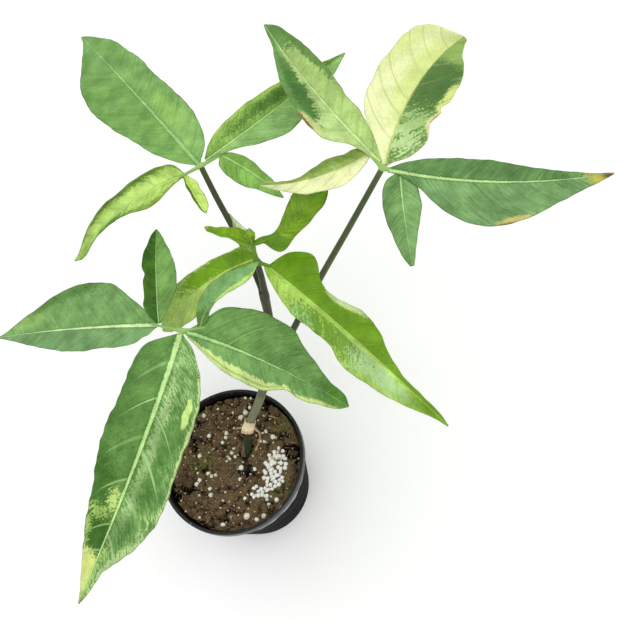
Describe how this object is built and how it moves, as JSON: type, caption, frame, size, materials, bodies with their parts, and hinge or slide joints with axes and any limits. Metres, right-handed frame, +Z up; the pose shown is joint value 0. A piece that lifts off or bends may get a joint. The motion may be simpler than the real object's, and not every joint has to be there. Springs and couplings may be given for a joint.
{
  "type": "potted syngonium",
  "caption": "Young syngonium house plant with divided variegated leaves on a leaning stem, in a plain black nursery pot of soil.",
  "frame": {"origin": "centre of the pot's flat underside, on the surface that the pot stands on", "axes": "+Z up along the pot's axis; -Y towards the front, where the largest leaflet hangs past the rim; +X to the right, the side the stem leans to"},
  "size_m": [0.3928, 0.3909, 0.2807],
  "materials": {
    "pot_plastic": "satin black injection moulded plastic",
    "potting_soil": "damp dark peat mix with perlite and fertiliser prills",
    "stem_skin": "smooth green to brown stem skin",
    "petiole_skin": "smooth dark olive leaf stalk",
    "dry_sheath": "dry tan sheath and roots",
    "leaf_green": "mid green leaf with pale midrib and marbled lime variegation",
    "leaf_cream": "leaf with cream, lime and dark green sectors",
    "leaf_young": "young glossy yellow green leaf"
  },
  "bodies": {
    "root": {"pot": "pot_plastic", "soil": "potting_soil", "stem": "stem_skin", "node_sheath": "dry_sheath", "root_surface": "dry_sheath", "petiole_a": "petiole_skin", "petiole_b": "petiole_skin", "petiole_c": "petiole_skin", "petiole_d": "petiole_skin", "leaf_a": "leaf_green", "leaf_b": "leaf_cream", "leaf_c": "leaf_green", "leaf_d": "leaf_young"}
  },
  "joints": []
}
